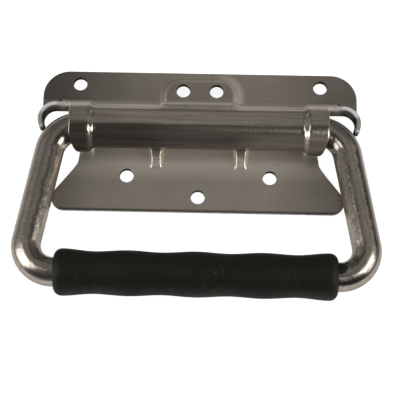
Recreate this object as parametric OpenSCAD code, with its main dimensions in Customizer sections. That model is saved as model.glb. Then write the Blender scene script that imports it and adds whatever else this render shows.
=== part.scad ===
// Surface-mount carrying handle: a pressed plate with a rolled barrel, and a bail that turns in it.
// Back face on z = 0, +Z out of the mounting surface, X along the hinge, +Y towards the flange.
// The origin is the middle of the lower screw pair. Places below are measured from the hinge axis.

/* [Sheet] */
// Thickness of the pressed sheet
sheet_t = 2; // [1.5:0.1:2.5]
// Inside radius of the bend between flange and barrel
bend_r = 1; // [0.5:0.1:2]
// Inside radius of the fold under the barrel
fold_r = 0.5; // [0.3:0.1:1]

/* [Flange] */
// Width of the upper flange
flange_w = 113.2; // [112:0.2:124]
// Hinge axis to the flange's top edge
flange_rise = 24.1; // [22.8:0.2:30]
// Radius of the flange's top corners
flange_corner_r = 9.5; // [3:0.5:10]
// Hinge axis to the flange's lower edge beside the ears
flange_tab_rise = 10.2; // [9.6:0.1:11]

/* [Lower plate] */
// Width of the lower plate
plate_w = 103.2; // [94:0.2:110]
// Hinge axis to the lower plate's bottom edge
plate_drop = 28.8; // [28:0.1:36]
// Radius of the lower plate's bottom corners
plate_corner_r = 4.5; // [1:0.5:6]
// Hinge axis to the top of the slanted shoulders
neck_drop = 10.9; // [10.5:0.1:14]
// Hinge axis to the bottom of the slanted shoulders
shoulder_drop = 22.8; // [18:0.1:23.5]

/* [Screw holes] */
// Diameter of every screw hole
screw_d = 5; // [4:0.1:6]
// Distance between the outer flange holes
outer_spacing = 86.8; // [70:0.2:96]
// Hinge axis to the outer flange holes
outer_rise = 19.1; // [17.6:0.1:20]
// Distance between the centre holes
centre_spacing = 12; // [10:0.2:14]
// Hinge axis to the centre holes
centre_rise = 16.4; // [16.2:0.1:17]
// Distance between the lower screw pair
lower_spacing = 50.6; // [44:0.2:70]
// Hinge axis to the lower screw pair
lower_drop = 15.8; // [15:0.1:18]
// Hinge axis to the single lowest hole
single_drop = 23.4; // [22:0.1:25]

/* [Barrel] */
// Play between the bar and the barrel's bore
bar_play = 0.25; // [0.1:0.05:0.4]
// Lean of the web between flange and barrel
web_lean = 26; // [20:0.5:30]
// How far the collars reach past the start of the bar's bend
collar_over = 3.9; // [2:0.1:5]
// Play between the bar's bend and the collar
collar_play = 0.35; // [0.3:0.05:1]
// Length of each end collar
collar_l = 7.1; // [4:0.1:10]
// Length of the step from barrel to collar
collar_step = 1.5; // [1:0.1:3]
// How far the collar's lower end tapers inwards
collar_taper = 3.2; // [1:0.1:4]

/* [Ears] */
// Play between the bar and the tip of an ear
ear_play = 0.35; // [0.3:0.05:1]
// Angle that the ear curls through
ear_turn = 120; // [90:5:130]
// Height of the ear's front edge above the back face
ear_front = 9; // [8:0.1:9.5]
// Depth of the ear along Z
ear_depth = 6; // [4:0.1:6.5]
// Inside radius of the ear's curl
ear_curl_r = 4.4; // [3:0.1:5]

/* [Pocket] */
// Width of the pocket's flat top
pocket_w = 23.6; // [22:0.2:30]
// Hinge axis to the edge of the pocket's flat top
pocket_rise = 19.9; // [19.8:0.1:21.4]
// Height of the pocket above the flange
pocket_h = 1.6; // [1.5:0.1:2]
// Width of the pocket's sloping wall
pocket_slope = 2.3; // [1.5:0.1:3]
// Radius of the pocket's corners at its flat top
pocket_corner_r = 5; // [3:0.5:6]

/* [Gussets] */
// Distance between the two gussets
gusset_spacing = 30; // [24:0.5:40]
// Width of a gusset
gusset_w = 5; // [4:0.1:6]
// Hinge axis to the gusset's lower end
gusset_drop = 13; // [12:0.1:14]

/* [Bail] */
// Diameter of the bar
bar_d = 10.2; // [9.5:0.1:10.5]
// Half the distance between the bar's hinge corners
corner_x = 50.7; // [50:0.1:54]
// Outward splay of the arms
splay = 10.3; // [6:0.1:12]
// Centreline radius of the bend at the hinge
hinge_bend_r = 11; // [10:0.1:13]
// Centreline radius of the bend at the grip
grip_bend_r = 9.5; // [8:0.1:11]
// Hinge axis to the grip's axis
bail_drop = 53.3; // [52:0.1:66]
// Half the gap between the bar's two ends
bar_end_x = 14; // [13.4:0.1:20]

/* [Grip] */
// Length of the grip
grip_l = 96.8; // [90:0.2:99]
// Diameter at the finger valleys
grip_valley_d = 14.6; // [14:0.1:15.4]
// Rise of the finger bulges
grip_bulge = 0.55; // [0.2:0.05:0.8]
// Diameter of the end bulges
grip_end_d = 16.2; // [15:0.1:18]
// Distance between neighbouring finger bulges
grip_pitch = 23; // [20:0.5:24]
// Rounding radius of the grip's ends
grip_round = 1.8; // [1:0.1:2.2]
// Gap between the folded grip and the mounting surface
grip_gap = 0.1; // [0.05:0.05:0.5]
// Gap between the grip's bore and the bar
grip_play = 0.05; // [0.02:0.01:0.1]
// Length of the small tongue at the grip's right end
tongue_l = 3; // [2:0.1:4]
// Width of the tongue
tongue_w = 4.8; // [4:0.1:6]
// Thickness of the tongue
tongue_t = 0.8; // [0.5:0.1:1.2]

/* [Spring] */
// Diameter of the spring wire
wire_d = 1.2; // [1:0.1:1.3]
// Radius of the coils at the middle of the wire
coil_r = 3.6; // [3.3:0.1:3.8]
// Turns in each coil
coil_turns = 5; // [3:1:6]
// Distance between neighbouring turns
coil_pitch = 1.5; // [1.35:0.05:1.6]
// Half the width of the spring's centre loop
loop_x = 4.4; // [3.5:0.1:5]
// Hinge axis to the end of the loop
loop_rise = 12; // [11.5:0.1:12.2]
// How far the spring's tails reach into the bar
tail_l = 5; // [3:0.5:8]
// Play of a tail in its hole
tail_play = 0.2; // [0.1:0.05:0.3]

/* [Hidden] */
$fn = 64;
steel = [0.42, 0.40, 0.37];
bar_steel = [0.5, 0.48, 0.44];
rubber = [0.1, 0.1, 0.09];
spring_steel = [0.6, 0.58, 0.52];
// Past the faces that it cuts
over = 1;
// Overlap of shapes that are one sheet, as a length and as an angle
lap = 0.3;
lap_angle = 3;
// How far a lapped end lies inside the wall that it joins
skin = 0.04;

bar_r = bar_d / 2;
hinge_h = grip_end_d / 2 + grip_gap;

// Bail: the bend at the hinge starts at bend_x and turns the bar from X to the arm's direction
hinge_turn = 90 - splay;
grip_turn = 90 + splay;
bend_x = corner_x - hinge_bend_r * tan(hinge_turn / 2);
grip_corner_x = corner_x + bail_drop * tan(splay);
grip_straight_x = grip_corner_x - grip_bend_r * tan(grip_turn / 2);
arm_l = bail_drop / cos(splay) - hinge_bend_r * tan(hinge_turn / 2) - grip_bend_r * tan(grip_turn / 2);

// Barrel and collars: the collar clears the inner side of the bar's bend at its mouth
collar_end = bend_x + collar_over;
collar_start = collar_end - collar_l;
bend_inner_r = hinge_bend_r - bar_r;
bend_reach = hinge_bend_r - sqrt(max(0, bend_inner_r * bend_inner_r - collar_over * collar_over));
barrel_r = bar_r + bar_play;
collar_r = max(bend_reach + collar_play, barrel_r + 1);
neck_x = collar_end - collar_taper;

// Y of the web's outer face at a height z, for a bore of radius r
function web_y(r, z) = (r + sheet_t - sin(web_lean) * (z - hinge_h)) / cos(web_lean);
// Y of the centre of the bend between flange and web
function bend_y(r) = web_y(r - skin, sheet_t + bend_r) + bend_r / cos(web_lean);
// Distance from the hinge axis to the centre of the fold under the barrel, along Y
function fold_y(r) = sqrt(pow(r + sheet_t + fold_r, 2) - pow(hinge_h - sheet_t - fold_r, 2));
// Y where the barrel's web meets its bend
bend_start = web_y(barrel_r, sheet_t + bend_r);
// How far the barrel's wall curls under the bar
function fold_angle(r) = asin((hinge_h - sheet_t - fold_r) / (r + sheet_t + fold_r));

// Ears: the tip stands clear of the outer side of the bar's bend wherever the bail turns past it
ear_back = ear_front - ear_depth;
ear_top = web_y(collar_r, ear_front);
ear_curl_y = ear_top - sheet_t - ear_curl_r;
ear_tip_turn = ear_turn - 90;
ear_mid_r = ear_curl_r + sheet_t / 2;
ear_tip_drop = ear_mid_r * sin(ear_tip_turn) + sheet_t / 2 - ear_curl_y;
ear_tip_reach = norm([max(2, ear_tip_drop), ear_front - hinge_h]);
bend_outer_r = hinge_bend_r + bar_r;
ear_inner_x = bend_x + sqrt(pow(bend_outer_r, 2) - pow(hinge_bend_r - ear_tip_reach, 2)) + ear_play;
ear_curl_x = ear_inner_x - ear_curl_r;

// Spring: the loop lies in the pocket, just above the back face
wire_r = wire_d / 2;
wire_back = 0.05;
loop_z = wire_back + wire_r;
leg_slope = 24;
leg_start = [-coil_r * sin(leg_slope), hinge_h - coil_r * cos(leg_slope)];
knee_y = leg_start[0] + (leg_start[1] - loop_z) / tan(leg_slope);
loop_corner_r = 2;
coil_end_x = loop_x + coil_turns * coil_pitch;

// A ring sector from angle a0 to a1, counted from the first axis
module ring_sector(r0, r1, a0, a1) {
    reach = 3 * r1;
    steps = 8;
    intersection() {
        difference() {
            circle(r1);
            circle(r0);
        }
        polygon(concat([[0, 0]], [for (i = [0 : steps]) let (a = a0 + (a1 - a0) * i / steps)
            [reach * cos(a), reach * sin(a)]]));
    }
}

// Extrudes a Y-Z section along X from x0 to x1
module along_x(x0, x1) {
    translate([x0, 0, 0])
        rotate([90, 0, 90])
            linear_extrude(x1 - x0) children();
}

// Mirrors its children to the other end as well
module both_ends() {
    children();
    mirror([1, 0, 0]) children();
}

// Points of an arc about c, from angle a0 to a1, with the radius running from r0 to r1
function arc(c, r0, r1, a0, a1, steps = 6) = [for (i = [0 : steps])
    let (a = a0 + (a1 - a0) * i / steps, r = r0 + (r1 - r0) * i / steps)
    c + r * [cos(a), sin(a)]];
// A point of the barrel's wall, at a radius and an angle from the hinge axis
function on_barrel(r, a) = [r * cos(a), hinge_h + r * sin(a)];

// Section of the web, its bend and the first strip of the flange, for a bore of radius r
module web_section(r) {
    centre = [bend_y(r), sheet_t + bend_r];
    strip_end = bend_y(collar_r) + over;
    ahead = lap * [-sin(web_lean), cos(web_lean)];
    polygon(concat([[strip_end, sheet_t]],
        arc(centre, bend_r, bend_r, 270, 180 + web_lean),
        [on_barrel(r + sheet_t - skin, web_lean) + ahead, on_barrel(r + skin, web_lean) + ahead],
        arc(centre, bend_r + sheet_t, bend_r + sheet_t, 180 + web_lean, 270),
        [[strip_end, 0]]));
}

// Section of the fold under the barrel and the first strip of the lower plate
module fold_section(r) {
    centre = [-fold_y(r), sheet_t + fold_r];
    turn = fold_angle(r);
    wall_end = 180 + turn - lap_angle;
    polygon(concat([[-neck_drop, sheet_t]],
        arc(centre, fold_r, fold_r + skin, -90, turn),
        [on_barrel(r + sheet_t - skin, wall_end), on_barrel(r + skin, wall_end)],
        arc(centre, fold_r + sheet_t - skin, fold_r + sheet_t, turn, -90),
        [[-neck_drop, 0]]));
}

// Section of the rolled sheet from the flange round the bar to the lower plate
module barrel_section(r) {
    web_section(r);
    translate([0, hinge_h])
        ring_sector(r, r + sheet_t, web_lean, 180 + fold_angle(r));
    fold_section(r);
}

// The collar's lower end tapers inwards from the front to the plate
module collar() {
    taper_top = hinge_h + collar_r * sin(30);
    difference() {
        along_x(collar_start - collar_step, collar_end) barrel_section(collar_r);
        translate([0, -neck_drop - over, 0])
            rotate([90, 0, 180])
                linear_extrude(neck_drop + over - collar_r / 2)
                    polygon([[-neck_x, -over], [-neck_x, sheet_t], [-collar_end, taper_top],
                        [-collar_end - over, taper_top], [-collar_end - over, -over]]);
    }
}

// The ear: the collar's web carried outwards and curled down round the bar's bend
module ear() {
    root_x = ear_curl_x - over;
    curl = [ear_curl_x, ear_curl_y];
    tip = curl + ear_mid_r * [cos(ear_tip_turn), -sin(ear_tip_turn)];
    translate([0, 0, ear_back])
        linear_extrude(ear_depth)
            polygon(concat([[collar_end - lap, ear_top]],
                arc(curl, ear_curl_r + sheet_t, ear_curl_r + sheet_t, 90, -ear_tip_turn, 14),
                arc(tip, sheet_t / 2, sheet_t / 2, -ear_tip_turn, -ear_tip_turn - 180),
                arc(curl, ear_curl_r, ear_curl_r, -ear_tip_turn, 90, 14),
                [[collar_end - lap, ear_top - sheet_t]]));
    intersection() {
        along_x(collar_end - lap, root_x) web_section(collar_r);
        cube([root_x + over, flange_rise, ear_front]);
    }
}

// A closed outline from the points of its right half, top to bottom
module mirrored(points) {
    polygon(concat(points, [for (i = [len(points) - 1 : -1 : 0]) [-points[i][0], points[i][1]]]));
}

module flange() {
    corner = [flange_w / 2 - flange_corner_r, flange_rise - flange_corner_r];
    tab_x = ear_curl_x - over;
    linear_extrude(sheet_t)
        mirrored(concat(arc(corner, flange_corner_r, flange_corner_r, 90, 0, 10),
            [[flange_w / 2, flange_tab_rise], [tab_x, flange_tab_rise], [tab_x, bend_y(collar_r)]]));
}

module lower_plate() {
    corner = [plate_w / 2 - plate_corner_r, plate_corner_r - plate_drop];
    linear_extrude(sheet_t)
        mirrored(concat([[neck_x, -fold_y(collar_r)], [neck_x, -neck_drop], [plate_w / 2, -shoulder_drop]],
            arc(corner, plate_corner_r, plate_corner_r, 0, -90, 8)));
}

// The pocket's form: a flat top with sloping walls, from its straight side at bottom
module pocket_form(foot, height, bottom) {
    corner = [pocket_w / 2 - pocket_corner_r, pocket_rise - pocket_corner_r];
    hull() {
        both_ends() {
            translate([corner[0], corner[1], foot])
                cylinder(h = height, r1 = pocket_corner_r + pocket_slope, r2 = pocket_corner_r, $fn = 32);
            translate([0, bottom, foot])
                cube([pocket_w / 2 + pocket_slope, lap, lap]);
            translate([0, bottom, foot])
                cube([pocket_w / 2, lap, height]);
        }
    }
}

// A pressed gusset between the barrel's underside and the lower plate
module gusset() {
    r = gusset_w / 2;
    top = [0, -barrel_r - sheet_t / 2, hinge_h - r];
    foot = [0, r - gusset_drop, sheet_t / 2];
    run = norm(foot - top);
    slope = atan2(top[2] - foot[2], top[1] - foot[1]);
    difference() {
        translate(foot)
            rotate([slope - 90, 0, 0]) {
                cylinder(h = run, r = r);
                sphere(r);
            }
        translate([-gusset_w, 0, hinge_h])
            rotate([0, 90, 0])
                cylinder(h = 2 * gusset_w, r = barrel_r + sheet_t / 2);
        translate([-gusset_w, -gusset_drop - over, -gusset_w])
            cube([2 * gusset_w, gusset_drop + over, gusset_w + sheet_t / 2]);
    }
}

module screw_hole(x, y) {
    translate([x, y, -over])
        cylinder(h = sheet_t + pocket_h + 2 * over, d = screw_d);
}

module screw_holes() {
    both_ends() {
        screw_hole(outer_spacing / 2, outer_rise);
        screw_hole(centre_spacing / 2, centre_rise);
        screw_hole(lower_spacing / 2, -lower_drop);
    }
    screw_hole(0, -single_drop);
}

// Moves the hinge-centred shapes to the row's origin
module placed() {
    translate([0, lower_drop, 0]) children();
}

module base_plate() {
    color(steel)
    placed()
    difference() {
        union() {
            flange();
            lower_plate();
            along_x(-collar_start, collar_start) barrel_section(barrel_r);
            both_ends() {
                collar();
                ear();
                translate([gusset_spacing / 2, 0, 0]) gusset();
            }
            pocket_form(sheet_t - lap, pocket_h + lap, bend_start - sheet_t / 2);
        }
        pocket_form(-lap, pocket_h + lap, bend_start - 2 * sheet_t);
        screw_holes();
    }
}

// A bend of the bar about the origin, from angle 0 to turn, its ends lapped into the straights
module bar_bend(centre_r, turn) {
    rotate([0, 0, -lap_angle])
        rotate_extrude(angle = turn + 2 * lap_angle)
            translate([centre_r, 0]) circle(bar_r - skin);
}

// One end of the bail: leg, hinge bend, arm and grip bend
module bail_half() {
    translate([bar_end_x, 0, 0])
        rotate([0, 90, 0])
            cylinder(h = bend_x - bar_end_x, r = bar_r);
    translate([bend_x, -hinge_bend_r, 0])
        rotate([0, 0, splay]) {
            bar_bend(hinge_bend_r, hinge_turn);
            translate([hinge_bend_r, 0, 0])
                rotate([90, 0, 0])
                    cylinder(h = arm_l, r = bar_r);
        }
    translate([grip_straight_x, grip_bend_r - bail_drop, 0])
        rotate([0, 0, -90])
            bar_bend(grip_bend_r, grip_turn);
}

module bail_bar() {
    color(bar_steel)
    placed()
    translate([0, 0, hinge_h])
    difference() {
        union() {
            both_ends() bail_half();
            translate([-grip_straight_x, -bail_drop, 0])
                rotate([0, 90, 0])
                    cylinder(h = 2 * grip_straight_x, r = bar_r);
        }
        both_ends()
            translate([bar_end_x - over, 0, coil_r])
                rotate([0, 90, 0])
                    cylinder(h = over + tail_l + tail_play, r = wire_r + tail_play);
    }
}

// Radius of the grip at a distance x from its middle: finger waves, then the larger end bulges
function grip_wave(x) = grip_valley_d / 2 + grip_bulge * pow(cos(180 * x / grip_pitch), 2);
function grip_end_rise(x) = let (u = max(0, abs(x) - 1.5 * grip_pitch) / (grip_l / 2 - grip_round - 1.5 * grip_pitch))
    pow(sin(90 * min(1, u)), 2);
function grip_radius(x) = grip_wave(min(abs(x), 1.5 * grip_pitch))
    + (grip_end_d - grip_valley_d) / 2 * grip_end_rise(x);

module grip() {
    bore_r = bar_r + grip_play;
    half = grip_l / 2;
    shoulder = half - grip_round;
    steps = 64;
    round_steps = 6;
    waves = [for (i = [0 : steps]) let (x = -shoulder + 2 * shoulder * i / steps) [grip_radius(x), x]];
    top_round = [for (i = [1 : round_steps]) let (a = 90 * i / round_steps)
        [grip_end_d / 2 - grip_round + grip_round * cos(a), shoulder + grip_round * sin(a)]];
    low_round = [for (i = [0 : round_steps - 1]) let (a = 90 - 90 * i / round_steps)
        [grip_end_d / 2 - grip_round + grip_round * cos(a), -shoulder - grip_round * sin(a)]];
    color(rubber)
    placed()
    translate([0, -bail_drop, hinge_h])
    rotate([0, 90, 0]) {
        rotate_extrude()
            polygon(concat([[bore_r, -half]], low_round, waves, top_round, [[bore_r, half]]));
        rotate([0, 0, 160])
        intersection() {
            translate([0, 0, half - lap])
                difference() {
                    cylinder(h = tongue_l + lap, r = bore_r + lap + tongue_t);
                    translate([0, 0, -over])
                        cylinder(h = tongue_l + lap + 2 * over, r = bore_r + lap);
                }
            translate([0, 0, half - lap])
                rotate([0, 90, 0]) {
                    translate([-tongue_l + tongue_w / 2, 0, 0])
                        cylinder(h = grip_end_d, r = tongue_w / 2);
                    translate([-tongue_l + tongue_w / 2, -tongue_w / 2, 0])
                        cube([tongue_l, tongue_w, grip_end_d]);
                }
        }
    }
}

// Wire path of the spring's right half, from the tail in the bar to the middle of the loop
coil_steps = 12 * coil_turns;
function coil_point(i) = let (a = -90 - leg_slope - 360 * coil_turns * (1 - i / coil_steps),
    x = coil_end_x - coil_turns * coil_pitch * i / coil_steps)
    [x, coil_r * cos(a), hinge_h + coil_r * sin(a)];
spring_tail = [[bar_end_x + tail_l, 0, hinge_h + coil_r], [coil_end_x + wire_d, 0, hinge_h + coil_r]];
spring_coil = [for (i = [0 : coil_steps]) coil_point(i)];
spring_leg = [[loop_x, knee_y - wire_d, loop_z + wire_d * tan(leg_slope)], [loop_x, knee_y + wire_d / 2, loop_z]];
spring_corner = [for (i = [0 : 3]) [loop_x - loop_corner_r + loop_corner_r * cos(30 * i),
    loop_rise - loop_corner_r + loop_corner_r * sin(30 * i), loop_z]];
spring_half = concat(spring_tail, spring_coil, spring_leg, spring_corner);
spring_path = concat(spring_half,
    [for (i = [len(spring_half) - 1 : -1 : 0]) [-spring_half[i][0], spring_half[i][1], spring_half[i][2]]]);

// Tangents along a path, and normals carried along it without twist
function unit(v) = v / norm(v);
function tangents(p) = [for (i = [0 : len(p) - 1])
    unit(p[min(i + 1, len(p) - 1)] - p[max(i - 1, 0)])];
function carried(t, n) = unit(n - (n * t) * t);
function normals(t, n, i = 0) = i == len(t) ? []
    : let (m = carried(t[i], n)) concat([m], normals(t, m, i + 1));

// A round wire along a path, as rings of points joined by faces
module wire(path, r, sides = 6) {
    t = tangents(path);
    n = normals(t, [0, 0, 1]);
    count = len(path);
    points = [for (i = [0 : count - 1]) for (j = [0 : sides - 1]) let (a = 360 * j / sides)
        path[i] + r * (cos(a) * n[i] + sin(a) * cross(t[i], n[i]))];
    walls = [for (i = [0 : count - 2]) for (j = [0 : sides - 1]) let (k = (j + 1) % sides)
        each [[i * sides + j, (i + 1) * sides + j, (i + 1) * sides + k],
            [i * sides + j, (i + 1) * sides + k, i * sides + k]]];
    caps = [[for (j = [0 : sides - 1]) j], [for (j = [sides - 1 : -1 : 0]) (count - 1) * sides + j]];
    polyhedron(points, concat(walls, caps));
}

module return_spring() {
    color(spring_steel)
    placed()
    wire(spring_path, wire_r);
}

base_plate();
bail_bar();
grip();
return_spring();
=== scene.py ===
# %% [markdown]
# A zinc-plated carrying handle for the side of a chest. A pressed plate is rolled into a barrel,
# a bent steel bar turns in that barrel, and a black finger grip is pushed over the bar.
# The CAD model gives every size and every joint. This script only dresses it, one piece at a time.

# %% Load the frame
import math
from functools import reduce

import bpy
import numpy as np
from mathutils import Matrix, Vector
from mathutils.geometry import delaunay_2d_cdt


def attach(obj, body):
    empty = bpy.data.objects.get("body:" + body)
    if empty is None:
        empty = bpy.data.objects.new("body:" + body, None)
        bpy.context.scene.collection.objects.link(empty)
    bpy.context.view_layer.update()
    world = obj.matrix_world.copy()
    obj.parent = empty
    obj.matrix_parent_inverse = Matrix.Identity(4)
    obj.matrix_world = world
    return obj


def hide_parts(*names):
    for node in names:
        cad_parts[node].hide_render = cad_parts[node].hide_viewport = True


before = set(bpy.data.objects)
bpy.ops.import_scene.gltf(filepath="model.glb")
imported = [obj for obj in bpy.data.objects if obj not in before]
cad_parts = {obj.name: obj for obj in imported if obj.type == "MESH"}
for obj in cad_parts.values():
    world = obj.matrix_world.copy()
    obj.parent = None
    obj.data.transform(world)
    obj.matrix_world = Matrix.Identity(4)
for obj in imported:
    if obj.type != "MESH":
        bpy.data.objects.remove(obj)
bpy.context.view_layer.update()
scene = bpy.context.scene
print("CAD nodes:", sorted(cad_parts))

# %% [markdown]
# The sizes repeat the CAD's named values, in millimetres and measured from the hinge axis.
# Working in millimetres keeps the formulas readable. The last step of every piece shifts it to the
# frame's origin, which is the lower screw pair, and turns millimetres into metres.

# %% Sizes from the CAD
MM = 0.001
HINGE_Y, HINGE_Z = 15.8, 8.2
SHEET, BEND_R, FOLD_R = 2.0, 1.0, 0.5
LEAN = math.radians(26)
BAR_R, BARREL_R, COLLAR_R = 5.1, 5.35, 6.92
COLLAR_END, NOTCH_X, JOGGLE_X, JOGGLE_W = 45.42, 50.3, 37.7, 2.6


def to_frame(points):
    """Hinge-centred millimetres to the frame's metres: shift along Y, then scale."""
    return (np.asarray(points, float) + [0, HINGE_Y, 0]) * MM


def smooth(t):
    """The smoothstep ramp: 0 below 0, 1 above 1, and 3t^2 - 2t^3 between."""
    t = np.clip(t, 0, 1)
    return t * t * (3 - 2 * t)


def corner_uv(mesh, uv):
    """Each face corner's uv; where a face crosses the seam, its low turns go up by 1 so that it can't wrap back."""
    painted_fold_and_gusset_light = np.empty(len(mesh.loops), np.int64)
    first, sides = np.empty((2, len(mesh.polygons)), np.int64)
    mesh.loops.foreach_get("vertex_index", painted_fold_and_gusset_light)
    mesh.polygons.foreach_get("loop_start", first)
    mesh.polygons.foreach_get("loop_total", sides)
    at = np.asarray(uv, np.float32)[painted_fold_and_gusset_light]
    at[:, 1] += np.repeat(np.maximum.reduceat(at[:, 1], first), sides) - at[:, 1] > 0.5
    return at


def new_piece(name, points, faces, body, node, slot, uv=None, **marks):
    """A smooth mesh from whole arrays, riding on a body for a CAD node; marks are named numbers for its points."""
    mesh = bpy.data.meshes.new(name)
    mesh.from_pydata(to_frame(points).tolist(), [], faces)
    mesh.polygons.foreach_set("use_smooth", np.ones(len(mesh.polygons), bool))
    if uv is not None:
        mesh.uv_layers.new(name="UVMap").data.foreach_set("uv", corner_uv(mesh, uv).ravel())
    for mark, values in marks.items():
        mesh.attributes.new(mark, "FLOAT", "POINT").data.foreach_set("value", np.asarray(values, np.float32))
    mesh.validate()
    piece = bpy.data.objects.new(name, mesh)
    scene.collection.objects.link(piece)
    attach(piece, body)
    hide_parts(node)
    low, high = to_frame(points).min(0), to_frame(points).max(0)
    print(f"{name}: {len(mesh.vertices)} points, {len(mesh.polygons)} faces, {(high - low).round(4)} m")
    return piece


# %% [markdown]
# A bent bar and a spring wire are the same idea: a circle carried along a path. A curve with a round
# bevel would do that too, but here every point also gets its length and turn, which the finish needs.
# The ring's two directions must not twist, so each is the last one with its part along the new
# tangent taken off. For a flat path that is simply "up" and "sideways".

# %% A round bar along a path
FLIP = [0, 3, 2, 1]  # turns a quad's facing round and keeps its first corner


def grid_faces(rows, cols, ring=True, loop=False):
    """Quads between neighbours on a grid: a ring joins the last column to the first, a loop the last row."""
    i, j = np.meshgrid(np.arange(rows - (not loop)), np.arange(cols - (not ring)), indexing="ij")
    n, k = (i + 1) % rows, (j + 1) % cols
    return np.stack([i * cols + j, n * cols + j, n * cols + k, i * cols + k], -1).reshape(-1, 4)


def run_length(path):
    """Length of the path up to each of its points."""
    return np.r_[0, np.cumsum(np.linalg.norm(np.diff(path, axis=0), axis=1))]


def unit_tangents(path):
    """Direction of the path at each of its points, of length 1."""
    tangent = np.gradient(path, axis=0)
    return tangent / np.linalg.norm(tangent, axis=1, keepdims=True)


def carried_frames(path):
    """Tangent and two cross directions at each point; the cross directions are carried on without twist."""
    tangent = unit_tangents(path)
    side = np.zeros_like(path)
    last = np.array([0.0, 0.0, 1.0])
    for i, along in enumerate(tangent):
        last = last - along * (last @ along)
        last /= np.linalg.norm(last)
        side[i] = last
    return tangent, side, np.cross(tangent, side)


def swept_bar(path, radius, sides, cap_round=0.0):
    """Points path + radius * (cos a * side + sin a * cross) on a grid, with flat caps; uv is (length, turn)."""
    tangent, side, cross = carried_frames(path)
    turn = np.linspace(0, 2 * np.pi, sides, endpoint=False)
    ring = np.cos(turn)[:, None] * side[:, None] + np.sin(turn)[:, None] * cross[:, None]
    radius = np.broadcast_to(np.asarray(radius, float), (len(path),))
    points = path[:, None] + radius[:, None, None] * ring
    if cap_round:
        def lip(k, sign):
            return [path[k] + ring[k] * (radius[k] - cap_round * (1 - math.sin(a)))
                    + sign * tangent[k] * cap_round * math.cos(a) for a in (1.2, 0.8, 0.4, 0.0)]
        points = np.concatenate([lip(0, -1)[::-1], points, lip(-1, 1)])
    rows = len(points)
    length = run_length(points.mean(1))
    flat = points.reshape(-1, 3)
    ends = np.array([points[0].mean(0), points[-1].mean(0)])
    j = np.arange(sides)
    k = (j + 1) % sides
    first = np.stack([np.full(sides, len(flat)), k, j], -1)
    last = np.stack([np.full(sides, len(flat) + 1), (rows - 1) * sides + j, (rows - 1) * sides + k], -1)
    faces = grid_faces(rows, sides)[:, FLIP].tolist() + first.tolist() + last.tolist()
    uv = np.stack(np.broadcast_arrays(length[:, None] * MM, turn / (2 * np.pi)), -1).reshape(-1, 2)
    return np.concatenate([flat, ends]), faces, np.concatenate([uv, [[0, 0], [length[-1] * MM, 0]]])


def arc_points(centre, radius, start, stop, count):
    """Points of a flat arc: centre + radius * (cos a, sin a) for count angles in degrees."""
    a = np.radians(np.linspace(start, stop, count))
    return np.stack([centre[0] + radius * np.cos(a), centre[1] + radius * np.sin(a)], -1)


# %% [markdown]
# The bail is one 10 mm bar. Each leg starts 14 mm from the middle, turns 80 degrees out of the
# barrel, runs down an arm that splays by 10 degrees, and turns 100 degrees into the grip. Straights
# and arcs are joined in one path, with points closer together in the bends. The mark "inward" says
# which way a point faces, from -1 on the outside of the bail to 1 on its inside.

# %% The bail
CORNER_X, SPLAY, HINGE_BEND, GRIP_BEND = 50.7, 10.3, 11.0, 9.5
BAIL_DROP, BAR_END = 53.3, 14.0
hinge_tan = HINGE_BEND * math.tan(math.radians((90 - SPLAY) / 2))
grip_tan = GRIP_BEND * math.tan(math.radians((90 + SPLAY) / 2))
bend_x = CORNER_X - hinge_tan
grip_x = CORNER_X + BAIL_DROP * math.tan(math.radians(SPLAY)) - grip_tan


def line_points(start, stop, count):
    """Evenly spaced points of a straight, without its last one."""
    return np.linspace(start, stop, count, endpoint=False)


upper_bend = arc_points((bend_x, -HINGE_BEND), HINGE_BEND, 90, SPLAY, 26)
lower_bend = arc_points((grip_x, GRIP_BEND - BAIL_DROP), GRIP_BEND, SPLAY, -90, 30)
half_bail = np.concatenate([
    line_points((BAR_END, 0), upper_bend[0], 16), upper_bend[:-1],
    line_points(upper_bend[-1], lower_bend[0], 24), lower_bend[:-1],
    line_points(lower_bend[-1], (0, -BAIL_DROP), 24), [[0, -BAIL_DROP]]])
bail_flat = np.concatenate([half_bail, half_bail[-2::-1] * [-1, 1]])
bail_path = np.c_[bail_flat, np.full(len(bail_flat), HINGE_Z)]
bail_points, bail_faces, bail_uv = swept_bar(bail_path, BAR_R - 0.02, 56, 0.6)
bail = new_piece("bail_rod", bail_points, bail_faces, "bail", "bail_bar", "bar_zinc", bail_uv,
                 inward=np.sin(2 * np.pi * bail_uv[:, 1]))

# %% [markdown]
# The grip is turned: a profile of radius against length, spun round the bar. The finger waves are a
# squared cosine with a pitch of 23 mm, and past the last wave the radius swells into the end bulge.
# A Screw modifier could spin the profile, but the formula is exact and closes the skin by itself.

# %% The grip
GRIP_L, VALLEY_R, BULGE, END_R, PITCH, END_ROUND = 96.8, 7.3, 0.55, 8.1, 23.0, 2.8


def grip_radius(x):
    """Radius at x: valley + bulge * cos^2(pi x / pitch), then a sin^2 rise to the end bulge."""
    far = np.abs(x)
    wave = VALLEY_R + BULGE * np.cos(np.pi * np.minimum(far, 1.5 * PITCH) / PITCH) ** 2
    u = np.clip((far - 1.5 * PITCH) / (GRIP_L / 2 - END_ROUND - 1.5 * PITCH), 0, 1)
    return wave + (END_R - VALLEY_R) * np.sin(u * np.pi / 2) ** 2


shoulder = GRIP_L / 2 - END_ROUND
body_x = np.linspace(-shoulder, shoulder, 150)
round_a = np.linspace(0, np.pi / 2, 10)[1:]
end_r = END_R - END_ROUND + END_ROUND * np.cos(round_a)
end_x = shoulder + END_ROUND * np.sin(round_a)
mouth_r = np.array([BAR_R + 0.45, BAR_R + 0.2, BAR_R + 0.06])
mouth_x = GRIP_L / 2 - np.array([0.03, 0.15, 0.5])
half_r = np.r_[end_r, mouth_r]
half_x = np.r_[end_x, mouth_x]
profile_x = np.r_[-half_x[::-1], body_x, half_x]
profile_r = np.r_[half_r[::-1], grip_radius(body_x), half_r]


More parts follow.
